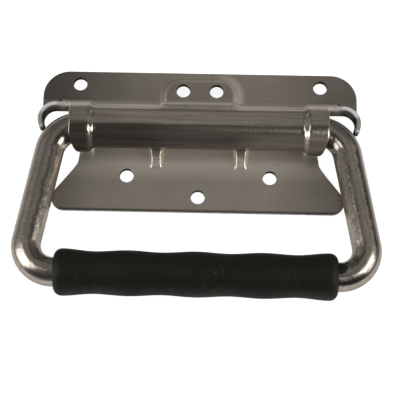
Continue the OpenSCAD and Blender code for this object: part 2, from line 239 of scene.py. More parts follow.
def turned(x, r, centre, sides):
    """A profile r(x) spun about X through a centre: (x, cy + r cos a, cz + r sin a), its rows a closed loop."""
    a = np.linspace(0, 2 * np.pi, sides, endpoint=False)
    points = np.stack(np.broadcast_arrays(x[:, None], centre[0] + r[:, None] * np.cos(a),
                                          centre[1] + r[:, None] * np.sin(a)), -1).reshape(-1, 3)
    uv = np.stack(np.broadcast_arrays(x[:, None] * MM, a / (2 * np.pi)), -1).reshape(-1, 2)
    return points, grid_faces(len(x), sides, loop=True).tolist(), uv


grip_points, grip_faces, grip_uv = turned(profile_x, profile_r, (-BAIL_DROP, HINGE_Z), 72)
grip = new_piece("finger_grip", grip_points, grip_faces, "bail", "grip", "grip_rubber", grip_uv)

# %% [markdown]
# A small half-round tongue of the same rubber lies on the bar at the grip's right end. It is a
# curved slab: a grid over its outline, bent round the bar, with a rim that closes it.

# %% The grip's tongue
TONGUE_L, TONGUE_W, TONGUE_T, TONGUE_TURN = 3.0, 4.8, 0.8, 70.0
TONGUE_NECK, TONGUE_LAP = 0.6, 1.2


def tongue_shape(rows=14, cols=17):
    """A slab bent round the bar, half-round in outline: half width = w/2 * sqrt(1 - t^2) past a straight neck."""
    s = np.linspace(0, 1, rows)
    t = np.clip((s * TONGUE_L - TONGUE_NECK) / (TONGUE_L - TONGUE_NECK), 0, 1)
    half = TONGUE_W / 2 * np.sqrt(np.clip(1 - t ** 2, 0.002, 1))
    across = np.linspace(-1, 1, cols)
    crown = np.sqrt(np.clip(1 - np.abs(across) ** 6, 0, 1))
    x = np.broadcast_to((GRIP_L / 2 - TONGUE_LAP + s * (TONGUE_L + TONGUE_LAP))[:, None], (rows, cols))
    angle = math.radians(TONGUE_TURN) + half[:, None] * across / (BAR_R + TONGUE_T)
    tip = np.sqrt(np.clip(1 - s ** 8, 0, 1))[:, None]
    outer = BAR_R + 0.1 + TONGUE_T * (0.35 + 0.65 * crown * tip)
    shells = [np.stack([x, -BAIL_DROP + r * np.cos(angle), HINGE_Z + r * np.sin(angle)], -1)
              for r in (outer, np.full_like(outer, BAR_R + 0.04))]
    points = np.concatenate([shell.reshape(-1, 3) for shell in shells])
    top = grid_faces(rows, cols, ring=False)
    low = top[:, ::-1] + rows * cols
    rim = np.r_[np.arange(cols), np.arange(2, rows + 1) * cols - 1,
                (rows - 1) * cols + np.arange(cols - 2, -1, -1), np.arange(rows - 2, 0, -1) * cols]
    after = np.roll(rim, -1)
    wall = np.stack([rim, after, after + rows * cols, rim + rows * cols], -1)
    return points, np.concatenate([top, low, wall]).tolist()


tongue = new_piece("grip_tongue", *tongue_shape(), "bail", "grip", "grip_rubber")

# %% [markdown]
# The plate is the main work. The real one is cut flat from sheet and pressed: a flange, a sharp
# bend, a web, the barrel rolled round the bar, a fold, and the lower plate. It is made the same way
# here, so that the sheet keeps its thickness in every bend. The blank is drawn flat, with x along the
# hinge and v along the sheet, and one formula folds it. The barrel widens into a collar at each end,
# so its radius depends on x.

# %% Fold the blank
def barrel_radius(x):
    """Bore radius at x: the barrel's, rising by a smoothstep to the collar's."""
    return BARREL_R + (COLLAR_R - BARREL_R) * smooth((np.abs(x) - JOGGLE_X) / JOGGLE_W + 0.5)


def bend_centre_y(r):
    """Y of the bend between web and flange, from the line that touches the barrel at the lean angle."""
    return (r + SHEET + BEND_R - math.sin(LEAN) * (SHEET + BEND_R - HINGE_Z)) / math.cos(LEAN)


def fold_centre_y(r):
    """Distance of the fold's centre below the hinge axis: two circles that touch, one resting on the plate."""
    return np.sqrt((r + SHEET + FOLD_R) ** 2 - (HINGE_Z - SHEET - FOLD_R) ** 2)


def fold_turn(r):
    """Angle by which the barrel's wall curls under the bar before the fold takes over."""
    return np.arcsin((HINGE_Z - SHEET - FOLD_R) / (r + SHEET + FOLD_R))


def stretch_lengths(r):
    """Lengths of fold, barrel, web and bend along the sheet's front face for a bore of radius r."""
    turn = fold_turn(r)
    web = math.sin(LEAN) * bend_centre_y(r) + math.cos(LEAN) * (HINGE_Z - SHEET - BEND_R)
    return np.stack(np.broadcast_arrays(FOLD_R * (turn + np.pi / 2), (r + SHEET) * (np.pi + turn - LEAN),
                                        web, BEND_R * (np.pi / 2 - LEAN)), -1)


STRETCH = stretch_lengths(np.array(BARREL_R))
V_FOLD, V_BARREL, V_WEB, V_BEND = np.cumsum(STRETCH)


def bent_sheet(x, v, depth):
    """Folds blank points: each stretch of v is an arc or a straight, and depth goes in from the front face."""
    r = barrel_radius(x)
    turn, cy, fy = fold_turn(r), bend_centre_y(r), fold_centre_y(r)
    lengths = stretch_lengths(r)
    scale = lengths / STRETCH
    a = -np.pi / 2 + v * scale[..., 0] / FOLD_R
    b = np.pi + turn - (v - V_FOLD) * scale[..., 1] / (r + SHEET)
    w = (v - V_BARREL) * scale[..., 2]
    c = np.pi + LEAN + (v - V_WEB) / BEND_R
    flat_tab = np.abs(x) > NOTCH_X
    stretch = [flat_tab & (v > V_BARREL), v < 0, v < V_FOLD, v < V_BARREL, v < V_WEB, v < V_BEND]
    y = np.select(stretch, [
        cy + v - V_BEND, v - fy, -fy + (FOLD_R + depth) * np.cos(a), (r + SHEET - depth) * np.cos(b),
        (r + SHEET - depth) * math.cos(LEAN) + w * math.sin(LEAN), cy + (BEND_R + depth) * np.cos(c)],
        cy + v - V_BEND)
    z = np.select(stretch, [
        SHEET - depth, SHEET - depth, SHEET + FOLD_R + (FOLD_R + depth) * np.sin(a),
        HINGE_Z + (r + SHEET - depth) * np.sin(b),
        HINGE_Z + (r + SHEET - depth) * math.sin(LEAN) - w * math.cos(LEAN),
        SHEET + BEND_R + (BEND_R + depth) * np.sin(c)], SHEET - depth)
    return np.stack([x, y, z], -1)


print("stretches of the sheet (mm):", STRETCH.round(2), "in all", round(float(V_BEND), 2))

# %% [markdown]
# Two pressed forms sit on the folded sheet. The pocket in the flange makes room for the spring: a
# flat top with soft sides. The two gussets stiffen the fold under the barrel: each pulls the sheet
# out to the straight chord across the corner. Both are smooth ramps added to the folded points.

# %% Pocket and gussets
POCKET_HALF, POCKET_RISE, POCKET_R, POCKET_H, POCKET_SLOPE = 11.4, 19.4, 5.0, 1.6, 3.4
GUSSET_X, GUSSET_HALF, GUSSET_DROP, GUSSET_TURN = 15.0, 2.5, 13.0, math.radians(14)
GUSSET_SOFT, GUSSET_PULL, POCKET_BLEND = 1.1, 0.92, 5.0


def pocket_rise(x, y):
    """Height of the pocket: a smoothstep of the distance outside a rounded rectangle, open at the bend."""
    q = np.stack([np.abs(x) - (POCKET_HALF - POCKET_R), y - (POCKET_RISE - POCKET_R)], -1)
    outside = np.linalg.norm(np.maximum(q, 0), axis=-1) + np.minimum(q.max(-1), 0) - POCKET_R
    return POCKET_H * smooth(1 - outside / POCKET_SLOPE)


def pressed_sheet(x, v, depth):
    """The folded sheet with its pocket lifted along Z and its gussets pulled to the chord of the fold."""
    points = bent_sheet(x, v, depth)
    lift = pocket_rise(x, np.maximum(points[..., 1], bend_centre_y(BARREL_R)))
    points[..., 2] += lift * smooth((v - V_WEB + POCKET_BLEND) / POCKET_BLEND)
    low_v = fold_centre_y(BARREL_R) - GUSSET_DROP
    high_v = V_FOLD + (BARREL_R + SHEET) * (fold_turn(BARREL_R) - GUSSET_TURN)
    ends = [bent_sheet(x, np.full_like(v, e), depth) for e in (low_v, high_v)]
    along = np.clip((v - low_v) / (high_v - low_v), 0, 1)[..., None]
    chord = ends[0] * (1 - along) + ends[1] * along
    inside = ((v > low_v) & (v < high_v))[..., None]
    ridge = smooth((GUSSET_HALF - np.abs(np.abs(x) - GUSSET_X)) / GUSSET_SOFT)[..., None]
    return np.where(inside, points + GUSSET_PULL * ridge * (chord - points), points)


print("pocket", POCKET_H, "mm high, gussets at +-", GUSSET_X, "mm")

# %% [markdown]
# The blank's outline runs once round the right half and is mirrored. On the flange and the lower
# plate it is given in x and y, so a small formula turns y into v. Round corners are arcs, and the
# screw holes are circles.

# %% Outline of the blank
FLANGE_W, FLANGE_RISE, FLANGE_R, TAB_RISE = 113.2, 24.1, 9.5, 10.2
PLATE_W, PLATE_DROP, PLATE_R, NECK_DROP, SHOULDER_DROP = 103.2, 28.8, 4.5, 10.9, 22.8
NECK_X, SCREW_R, SLIT = 42.22, 2.5, 0.04
HOLES = [(43.4, 19.1), (6.0, 16.4), (25.3, -15.8), (-43.4, 19.1), (-6.0, 16.4), (-25.3, -15.8), (0.0, -23.4)]


def blank_v(points):
    """v of plan points (x, y): above the hinge from the bend, below it from the fold."""
    x, y = np.asarray(points, float).T
    r = barrel_radius(x)
    return np.stack([x, np.where(y > 0, y - bend_centre_y(r) + V_BEND, y + fold_centre_y(r))], -1)


def resampled(loop, step):
    """The same closed outline with points no further apart than step, its corners kept."""
    closed = np.concatenate([loop, loop[:1]])
    run = run_length(closed)
    counts = np.maximum(1, np.ceil(np.diff(run) / step)).astype(int)
    at = np.concatenate([np.linspace(a, b, n, endpoint=False) for a, b, n in zip(run[:-1], run[1:], counts)])
    return np.stack([np.interp(at, run, closed[:, 0]), np.interp(at, run, closed[:, 1])], -1)


def inset(loop, by):
    """Every point moved to the outline's inner side by the same distance, mitred at the corners."""
    edge = np.roll(loop, -1, 0) - loop
    edge /= np.linalg.norm(edge, axis=1, keepdims=True)
    normal = np.stack([-edge[:, 1], edge[:, 0]], -1)
    before = np.roll(normal, 1, 0)
    mitre = (normal + before) / (1 + (normal * before).sum(1, keepdims=True)).clip(0.35)
    return loop + by * mitre


flange_corner = arc_points((FLANGE_W / 2 - FLANGE_R, FLANGE_RISE - FLANGE_R), FLANGE_R, 90, 0, 18)
plate_corner = arc_points((PLATE_W / 2 - PLATE_R, PLATE_R - PLATE_DROP), PLATE_R, 0, -90, 14)
top_edge = line_points((0.4, FLANGE_RISE), flange_corner[0], 60)
bottom_edge = np.linspace(plate_corner[-1], (0.4, -PLATE_DROP), 60)[1:]
shoulder_t = np.linspace(0, 1, 24)[:-1, None]
shoulder_edge = np.array([NECK_X, -NECK_DROP]) + shoulder_t * [PLATE_W / 2 - NECK_X, NECK_DROP - SHOULDER_DROP]
shoulder_edge += np.exp(-shoulder_t * 9) * [0.5, 0.3]
tab_edge = [[FLANGE_W / 2, TAB_RISE], [NOTCH_X + SLIT, TAB_RISE]]
upper_edge = blank_v(np.concatenate([top_edge, flange_corner, tab_edge]))
tab_slit = np.array([[NOTCH_X + SLIT, V_BEND + 0.2], [NOTCH_X - SLIT, V_BEND - 0.1]])
barrel_share = np.array([0.84, 0.72, 0.6, 0.47, 0.35, 0.24, 0.12, 0.0])
barrel_v = V_FOLD + barrel_share * (V_BARREL - V_FOLD)
barrel_x = COLLAR_END - (COLLAR_END - NECK_X) * np.clip(1 - barrel_share / 0.47, 0, 1)
lower_edge = blank_v(np.concatenate([shoulder_edge, [[PLATE_W / 2, -SHOULDER_DROP]], plate_corner, bottom_edge]))
right_edge = np.concatenate([upper_edge, tab_slit, np.stack([barrel_x, barrel_v], -1), lower_edge])
outline = np.concatenate([right_edge, right_edge[::-1] * [-1, 1]])[::-1]
hole_loops = [blank_v(arc_points(c, SCREW_R, 360, 0, 41)[:-1]) for c in HOLES]
print("outline points:", len(outline))

# %% [markdown]
# The blank is filled with triangles before it is folded: its rims are fixed edges, and a grid of
# points fills the rest, closer together along the bends, the gussets and the collars. A boolean cut of
# the holes would leave long thin faces, and those show as creases in a mirror.

# %% Fill the blank with triangles
EDGE_R, HOLE_EDGE_R, HOLD = 0.5, 0.16, 0.22


def inside_loops(points, loops):
    """Even-odd rule: a point is inside where a ray from it crosses the rims an odd number of times."""
    odd = np.zeros(len(points), bool)
    for loop in loops:
        a, b = loop, np.roll(loop, -1, 0)
        for part in np.array_split(np.arange(len(points)), 40):
            p = points[part][:, None]
            crosses = (a[:, 1] > p[..., 1]) != (b[:, 1] > p[..., 1])
            rise = np.where(b[:, 1] == a[:, 1], 1e-9, b[:, 1] - a[:, 1])
            at = a[:, 0] + (p[..., 1] - a[:, 1]) * (b[:, 0] - a[:, 0]) / rise
            odd[part] ^= ((crosses & (p[..., 0] < at)).sum(1) % 2).astype(bool)
    return odd


def far_from(points, rims, gap):
    """Keeps points further than gap from every rim point."""
    keep = np.ones(len(points), bool)
    for part in np.array_split(np.arange(len(points)), 40):
        d = np.linalg.norm(points[part][:, None] - rims, axis=-1)
        keep[part] = d.min(1) > gap
    return keep


rims = [inset(resampled(outline, 0.8), EDGE_R + HOLD)]
rims += [inset(resampled(loop, 0.6), HOLE_EDGE_R + HOLD) for loop in hole_loops]
rim_rounds = [EDGE_R] + [HOLE_EDGE_R] * len(hole_loops)
rows = np.r_[np.arange(-26.0, -9.0, 0.8), np.arange(-9.0, -0.1, 0.4), np.linspace(0, V_FOLD, 12)[:-1],
             np.linspace(V_FOLD, V_BARREL, 50)[:-1], np.linspace(V_BARREL, V_WEB, 14)[:-1],
             np.linspace(V_WEB, V_BEND, 10)[:-1], np.arange(V_BEND, V_BEND + 12.5, 0.55)]
near_gusset = np.arange(-3.0, 3.01, 0.3)
columns = np.unique(np.r_[np.arange(-56.4, 56.5, 0.8), GUSSET_X + near_gusset, -GUSSET_X - near_gusset,
                          np.arange(36.4, 40.3, 0.35), -np.arange(36.4, 40.3, 0.35)].round(3))
columns = columns[np.r_[True, np.diff(columns) > 0.12]]
fill = np.stack(np.meshgrid(columns, rows), -1).reshape(-1, 2)
fill = fill[inside_loops(fill, rims)]
fill = fill[far_from(fill, np.concatenate(rims), 0.42)]
blank = np.concatenate(rims + [fill])
starts = np.cumsum([0] + [len(r) for r in rims])
fixed = np.concatenate([np.stack([np.arange(len(r)), np.roll(np.arange(len(r)), -1)], -1) + s
                        for r, s in zip(rims, starts)])
cdt = delaunay_2d_cdt([Vector(p) for p in blank.tolist()], fixed.tolist(), [], 0, 1e-6, True)
source = np.array([ids[0] for ids in cdt[3]])
triangles = source[np.array(cdt[2])]
triangles = triangles[inside_loops(blank[triangles].mean(1), rims)]
edge1, edge2 = blank[triangles[:, 1]] - blank[triangles[:, 0]], blank[triangles[:, 2]] - blank[triangles[:, 0]]
flip = edge1[:, 0] * edge2[:, 1] - edge1[:, 1] * edge2[:, 0] < 0
triangles[flip] = triangles[flip][:, ::-1]
print("blank:", len(blank), "points,", len(triangles), "triangles")

# %% [markdown]
# Front and back of the sheet share that pattern. Between them each rim gets a rounded edge, a few rings that turn a
# quarter circle, because a sharp edge catches no light. The mesh's mark for cut edges is 1 on the walls of the
# holes, where the punch has torn the plating off.

# %% The pressed plate
def rounded_plate():
    """Front and back faces from the blank, and rings over each rim: in by b(1 - sin p), down by b(1 - cos p)."""
    count = len(blank)
    faces = [triangles, triangles[:, ::-1] + count]
    points = [pressed_sheet(blank[:, 0], blank[:, 1], np.zeros(count)),
              pressed_sheet(blank[:, 0], blank[:, 1], np.full(count, SHEET))]
    turn = np.linspace(0, np.pi / 2, 5)
    quads, base, cut = [], 2 * count, [np.zeros(2 * count)]
    for rim, start, b in zip(rims, starts, rim_rounds):
        n = len(rim)
        rings = [start + np.arange(n)]
        ins = b * np.r_[1 - np.sin(turn), 1 - np.sin(turn[::-1])]
        down = np.r_[b * (1 - np.cos(turn)), SHEET - b * (1 - np.cos(turn[::-1]))]
        for way_in, depth in zip(ins, down):
            edge = inset(rim, way_in - b - HOLD)
            points.append(pressed_sheet(edge[:, 0], edge[:, 1], np.full(n, depth)))
            cut.append(np.full(n, float(b == HOLE_EDGE_R and way_in < 0.5 * b)))
            rings.append(base + np.arange(n))
            base += n
        rings.append(count + start + np.arange(n))
        rings = np.array(rings)
        after = np.roll(rings, -1, 1)
        quads.append(np.stack([rings[1:], after[1:], after[:-1], rings[:-1]], -1).reshape(-1, 4))
    faces = [f for part in faces for f in part.tolist()] + np.concatenate(quads).tolist()
    return np.concatenate(points), faces, np.concatenate(cut)


plate_points, plate_faces, plate_cut = rounded_plate()
plate = new_piece("pressed_plate", plate_points, plate_faces, "plate", "base_plate", "plate_zinc", cut=plate_cut)

# %% [markdown]
# An ear stands at each end of the plate: the collar's web runs on outwards and curls down beside the bar's bend. It
# is a rounded rectangle carried along a hook-shaped path, because a fold of the blank can't also bend sideways. Its
# mark is above 0 on the inner side, which is painted dark as shade, and below 0 along the outer edge, which is
# painted pale as a highlight.

# %% The ears
EAR_FRONT, EAR_DEPTH, EAR_R, EAR_TURN = 9.0, 6.0, 4.4, 120.0
EAR_TOP, EAR_INNER, EAR_ROOT, EAR_EDGE, TIP_LOW_R, TIP_HIGH_R = 9.537, 55.32, 45.6, 0.85, 2.6, 1.0


def ear_points(sign):
    """Rows of a rounded rectangle (sheet by depth) along the hook; near the tip it narrows as a quarter circle."""
    curl = arc_points((EAR_INNER - EAR_R, EAR_TOP - SHEET - EAR_R), EAR_R + SHEET / 2, 90, 90 - EAR_TURN, 30)
    root = line_points((EAR_ROOT, EAR_TOP - SHEET / 2), curl[0], 10)
    ahead = (curl[-1] - curl[-2]) / np.linalg.norm(curl[-1] - curl[-2])
    tip = curl[-1] + ahead * SHEET / 2 * np.sin(np.linspace(0, np.pi / 2, 9))[1:, None]
    path = np.concatenate([root, curl, tip])
    left = run_length(path)[-1] - run_length(path)
    thin = np.sqrt(np.clip(1 - np.clip(1 - left / (SHEET / 2), 0, 1) ** 2, 0.002, 1))
    tangent = unit_tangents(path)
    normal = np.stack([-tangent[:, 1], tangent[:, 0]], -1)

    def corner_cut(radius):
        """Height taken off by a round corner: r - sqrt(r^2 - (r - left)^2) near the tip."""
        return radius - np.sqrt(np.clip(radius ** 2 - np.clip(radius - left, 0, None) ** 2, 0, None))

    low, high = EAR_FRONT - EAR_DEPTH + corner_cut(TIP_LOW_R), EAR_FRONT - corner_cut(TIP_HIGH_R)
    corner = np.radians(np.arange(0, 91, 15))
    quarter = np.stack([np.cos(corner), np.sin(corner)], -1)
    signs = np.repeat([[1, 1], [-1, 1], [-1, -1], [1, -1]], len(corner), 0)
    turn = np.concatenate([quarter, quarter[::-1], quarter, quarter[::-1]]) * signs
    half = signs[:, 0] * (SHEET / 2 - EAR_EDGE) + turn[:, 0] * EAR_EDGE
    up = np.where(signs[:, 1] > 0, high[:, None] - EAR_EDGE, low[:, None] + EAR_EDGE) + turn[:, 1] * EAR_EDGE
    plan = path[:, None] + normal[:, None] * (half * thin[:, None])[..., None]
    points = np.concatenate([plan * [sign, 1], up[..., None]], -1)
    rows, cols = points.shape[:2]
    caps = [np.arange(cols), (rows - 1) * cols + np.arange(cols)[::-1]]
    faces = [f[::sign] for f in grid_faces(rows, cols).tolist() + [cap.tolist() for cap in caps]]
    x, y = path.T[..., None]
    # Painted shade: the inner side of the curl is made dark and dull.
    dull = 0.8 * smooth((x - 48.5) / 2.5) * (turn[:, 0] < -0.6)
    # Painted highlight: the outer edge of the curl is made pale.
    painted_edge_highlight = smooth(x - 50.0) * (0.5 + 0.5 * smooth((y - 4.0) / 2.0)) * (turn[:, 1] > 0.3) * (turn[:, 0] > -0.3)
    return points.reshape(-1, 3), faces, (dull - painted_edge_highlight).ravel()


ears = []
for name, sign in (("ear_right", 1), ("ear_left", -1)):
    points, faces, ear_cut = ear_points(sign)
    ears.append(new_piece(name, points, faces, "plate", "base_plate", "plate_zinc", cut=ear_cut))

# %% [markdown]
# The return spring is a double torsion spring hidden behind the plate: two coils in the barrel, a
# loop in the pocket, and a tail into each end of the bar. One wire path makes it all.

# %% The return spring
WIRE_R, COIL_R, TURNS, COIL_PITCH, LOOP_X, LOOP_RISE, TAIL_L = 0.6, 3.6, 5, 1.5, 4.4, 12.0, 5.0
LEG_SLOPE, LOOP_R = math.radians(24), 2.0


def spring_path():
    """Tail, helix (x falls by the pitch each turn), sloping leg, loop corner; then the same mirrored."""
    loop_z = 0.05 + WIRE_R
    coil_end = LOOP_X + TURNS * COIL_PITCH
    t = np.linspace(0, 1, 28 * TURNS + 1)
    a = -np.pi / 2 - LEG_SLOPE - 2 * np.pi * TURNS * (1 - t)
    coil = np.stack([coil_end - TURNS * COIL_PITCH * t, COIL_R * np.cos(a), HINGE_Z + COIL_R * np.sin(a)], -1)
    start = coil[-1]
    knee = start[1] + (start[2] - loop_z) / math.tan(LEG_SLOPE)
    tail = [[BAR_END + TAIL_L, 0, HINGE_Z + COIL_R], [BAR_END + 1, 0, HINGE_Z + COIL_R],
            [coil_end + 1.2, 0, HINGE_Z + COIL_R]]
    leg = [[LOOP_X, knee - 1.2, loop_z + 1.2 * math.tan(LEG_SLOPE)], [LOOP_X, knee + 0.6, loop_z]]
    corner = np.c_[arc_points((LOOP_X - LOOP_R, LOOP_RISE - LOOP_R), LOOP_R, 0, 90, 9), np.full(9, loop_z)]
    half = np.concatenate([tail, coil[2:], leg, corner])
    return np.concatenate([half, half[::-1] * [-1, 1, 1]])


wire_points, wire_faces, wire_uv = swept_bar(spring_path(), WIRE_R - 0.02, 12)
spring = new_piece("spring_wire_coil", wire_points, wire_faces, "plate", "return_spring", "spring_wire", wire_uv)

# %% [markdown]
# A material is a small network of nodes, and the same few kinds come again and again. Each of these
# helpers places one node, feeds it with numbers or with other nodes, and hands back its output. A
# finish can then be written almost like a formula.

# %% Helpers that place nodes
def feed(tree, socket, value):
    """Links a socket to the given one, or sets it to the given number, colour or vector."""
    if isinstance(value, bpy.types.NodeSocket):
        tree.links.new(value, socket)
    else:
        socket.default_value = value


def add(tree, kind, inputs=None, **settings):
    """A new node with its settings made and its inputs fed, by their names or numbers."""
    node = tree.nodes.new(kind)
    for key, value in settings.items():
        setattr(node, key, value)
    for key, value in (inputs or {}).items():
        feed(tree, node.inputs[key], value)
    return node


def calc(tree, operation, *values):
    """One operation carried over several values, as in a + b + c."""
    return reduce(lambda a, b: add(tree, "ShaderNodeMath", {0: a, 1: b}, operation=operation).outputs[0], values)


def times(tree, *values):
    """The product of several values."""
    return calc(tree, "MULTIPLY", *values)


def plus(tree, *values):
    """The sum of several values."""
    return calc(tree, "ADD", *values)


def less(tree, value):
    """What a mask leaves over: 1 - value."""
    return calc(tree, "SUBTRACT", 1.0, value)


def ramp(tree, source, low, high, out_low=0.0, out_high=1.0):
    """A straight ramp: low to high of the source becomes out_low to out_high, and it stays level beyond."""
    ends = {"Value": source, "From Min": low, "From Max": high, "To Min": out_low, "To Max": out_high}
    return add(tree, "ShaderNodeMapRange", ends).outputs["Result"]


def mask(tree, strength, *ramps):
    """Strength times ramps, each (source, where it is 0, where it is 1), or with two values of its own behind."""
    return times(tree, *[ramp(tree, *one) for one in ramps], strength)


def noise(tree, vector, scale, detail=3.0, rough=0.6):
    """Cloudy noise around 0.5; scale counts its blotches per unit of length."""
    inputs = {"Vector": vector, "Scale": scale, "Detail": detail, "Roughness": rough}
    return add(tree, "ShaderNodeTexNoise", inputs).outputs["Fac"]


def stretched(tree, vector, scale):
    """Coordinates scaled axis by axis; a small number draws a pattern out along that axis."""
    return add(tree, "ShaderNodeMapping", {"Vector": vector, "Scale": scale}).outputs["Vector"]


def split(tree, vector):
    """The X, Y and Z of a vector."""
    return add(tree, "ShaderNodeSeparateXYZ", {0: vector}).outputs


def mixed(tree, factor, a, b):
    """A colour mix: a where the factor is 0, b where it is 1."""
    return add(tree, "ShaderNodeMix", {0: factor, 6: a, 7: b}, data_type="RGBA").outputs[2]


def scaled(tree, colour, factor):
    """A colour made darker or lighter by a factor."""
    return add(tree, "ShaderNodeVectorMath", {0: colour, "Scale": factor}, operation="SCALE").outputs["Vector"]


# %% [markdown]
# The Principled BSDF is the shader that every material here ends in. One more set of helpers makes a
# material, feeds its shader, and asks what feeds it so far, so that a later step can build on an
# earlier one.

# %% Helpers for a material's shader
def new_look(name):
    """A material with nodes, and the tree of its nodes."""
    look = bpy.data.materials.new(name)
    look.use_nodes = True
    return look, look.node_tree


def dress(tree, inputs):
    """Feeds the material's shader, by the names of its sockets."""
    for name, value in inputs.items():
        feed(tree, tree.nodes["Principled BSDF"].inputs[name], value)


def fed_by(tree, name):
    """The output that feeds a socket of the shader so far."""
    return tree.nodes["Principled BSDF"].inputs[name].links[0].from_socket


# %% [markdown]
# Bright zinc is a mirror that has gone slightly dull. It shows soft clouds, fine drawn lines and
# small pits, and its roughness changes with them. Plate, bar and spring all need these marks, so one
# node group makes them and each material gives it its own colours, polish and direction of lines.

# %% Zinc marks, shared by every plated piece
MARK_SOCKETS = {
    "INPUT": {"Surface": "Vector", "Lines": "Vector", "Bright": "Color", "Dull": "Color",
              "Satin": "Float", "Polish": "Float"},
    "OUTPUT": {"Color": "Color", "Roughness": "Float", "Height": "Float"}}


def zinc_marks():
    """Tone = 0.45 cloud + 0.3 mottle + 0.25 lines picks colour and roughness; height is half lines, half mottle."""
    group = bpy.data.node_groups.new("zinc_marks", "ShaderNodeTree")
    for way, sockets in MARK_SOCKETS.items():
        for name, kind in sockets.items():
            group.interface.new_socket(name=name, in_out=way, socket_type="NodeSocket" + kind)
    given = add(group, "NodeGroupInput").outputs
    cloud = noise(group, given["Surface"], 60.0)
    mottle = noise(group, given["Surface"], 800.0, rough=0.55)
    lines = noise(group, given["Lines"], 1.0, 4.0)

    def blend(*parts):
        """A sum of noises, each with its share."""
        return plus(group, *[times(group, part, share) for part, share in parts])

    tone = blend((cloud, 0.45), (mottle, 0.3), (lines, 0.25))
    span = calc(group, "SUBTRACT", given["Polish"], given["Satin"])
    polished = times(group, span, ramp(group, tone, 0.35, 0.65))
    add(group, "NodeGroupOutput", {
        "Color": mixed(group, ramp(group, tone, 0.34, 0.66), given["Dull"], given["Bright"]),
        "Roughness": plus(group, given["Satin"], polished),
        "Height": blend((lines, 0.5), (mottle, 0.5))})
    return group


ZINC = zinc_marks()
print("zinc marks:", len(ZINC.nodes), "nodes")

# %% [markdown]
# Each plated piece has its own look. The plate's lines run along X, because the sheet was rolled that
# way, so it reads Object coordinates. Lines on the bar and the wire have to follow their bends, so
# those two read the UV map, which holds the length and the turn of every point.

# %% Three zinc looks
MARK_DEPTH = 0.12 * MM


def zinc(name, bright, dull, coords, line_scale, bump, satin, polish):
    """A plated-steel look: the shared marks feed colour, roughness and a fine bump."""
    look, tree = new_look(name)
    place = add(tree, "ShaderNodeTexCoord").outputs
    marks = add(tree, "ShaderNodeGroup", {
        "Surface": place["Object"], "Lines": stretched(tree, place[coords], line_scale),
        "Bright": (*bright, 1), "Dull": (*dull, 1), "Satin": satin, "Polish": polish}, node_tree=ZINC).outputs
    relief = add(tree, "ShaderNodeBump", {"Strength": bump, "Distance": MARK_DEPTH, "Height": marks["Height"]})
    dress(tree, {"Base Color": marks["Color"], "Roughness": marks["Roughness"], "Metallic": 1.0,
                 "Normal": relief.outputs["Normal"]})
    return look


plate_zinc = zinc("plate_zinc_look", (0.54, 0.485, 0.415), (0.43, 0.38, 0.322), "Object", (60, 1100, 1100),
                  bump=0.09, satin=0.36, polish=0.26)
bar_zinc = zinc("bar_zinc_look", (0.54, 0.485, 0.425), (0.29, 0.255, 0.22), "UV", (40, 40, 1),
                bump=1.0, satin=0.3, polish=0.1)
wire_zinc = zinc("spring_wire_look", (0.62, 0.60, 0.55), (0.45, 0.43, 0.39), "UV", (60, 20, 1),
                 bump=0.1, satin=0.35, polish=0.25)
for piece, look in zip((plate, *ears, bail, spring), (plate_zinc, plate_zinc, plate_zinc, bar_zinc, wire_zinc)):
    piece.data.materials.append(look)
    print(piece.name, "wears", look.name)

# %% [markdown]
# The plate doesn't look the same all over: some places are lighter and others darker, and most of this is light and
# shade painted into its colour. Painting by hand would need an image, but the frame says where everything is. So
# each place is a zone, a product of soft ramps along the frame's axes, with its limits in millimetres.

# %% Zones of the plate
plate_tree = plate_zinc.node_tree
plate_place = add(plate_tree, "ShaderNodeTexCoord").outputs["Object"]
px, py, pz = split(plate_tree, plate_place)
wide = calc(plate_tree, "ABSOLUTE", px, 0.0)
beside = calc(plate_tree, "ABSOLUTE", calc(plate_tree, "SUBTRACT", wide, GUSSET_X * MM), 0.0)


def zone(strength, *ramps):
    """A mask on the plate whose ramps give their limits in millimetres."""
    return mask(plate_tree, strength, *[(at, low * MM, high * MM, *ends) for at, low, high, *ends in ramps])


# The gussets share the fold's painted light and are kept out of the painted shade under the barrel.
gusset = zone(1.0, (beside, 2.7, 2.1), (pz, 2.1, 2.7), (pz, 6.5, 5.5), (py, 10.5, 9.8))
# Painted light: the web gets a pale tone and less metal, at half strength near the middle.
web = zone(1.0, (py, 20.3, 21.8), (py, 28.0, 27.6), (pz, 2.0, 2.3), (wide, 12.5, 15.0, 0.45, 1.0))
# Painted light: the lower plate along the fold is made lighter.
painted_fold_light = zone(1.0, (py, -2.0, 8.5), (py, 11.5, 10.5), (pz, 2.7, 2.1))
# Painted shade under the barrel, where it curls down to the fold; this place is also rougher.
under = times(plate_tree, zone(1.0, (py, 11.2, 10.0), (pz, 3.0, 4.5)), less(plate_tree, gusset))
# Painted highlight on the wall of the lower plate's front edge.
front_wall = zone(0.85, (py, -12.2, -12.6), (pz, 1.5, 1.3), (pz, 0.1, 0.4))
print("nodes of the plate's zones:", len(plate_tree.nodes))

# %% [markdown]
# Rolling burnishes the barrel, so the sheet gets smoother with height above the flat. The walls of the punched
# holes have no plating left and are dark and dull. The ears' inner sides are painted dark and dull in the same way,
# as painted shade, and their outer edges are painted pale, as a painted highlight. The meshes mark the walls and
# the inner sides above 0 and the outer edges below 0. Old zinc is hazy on the flats, and a hazy place scatters
# light as paint does, so it counts as less metallic. The painted highlights on the ears' edges and on the lower
# edge's wall, and the painted light on the web, count as less metallic too, so that their pale tones show.

# %% Rough and smooth, metal and haze, and the painted edges
cut = add(plate_tree, "ShaderNodeAttribute", attribute_name="cut").outputs["Fac"]
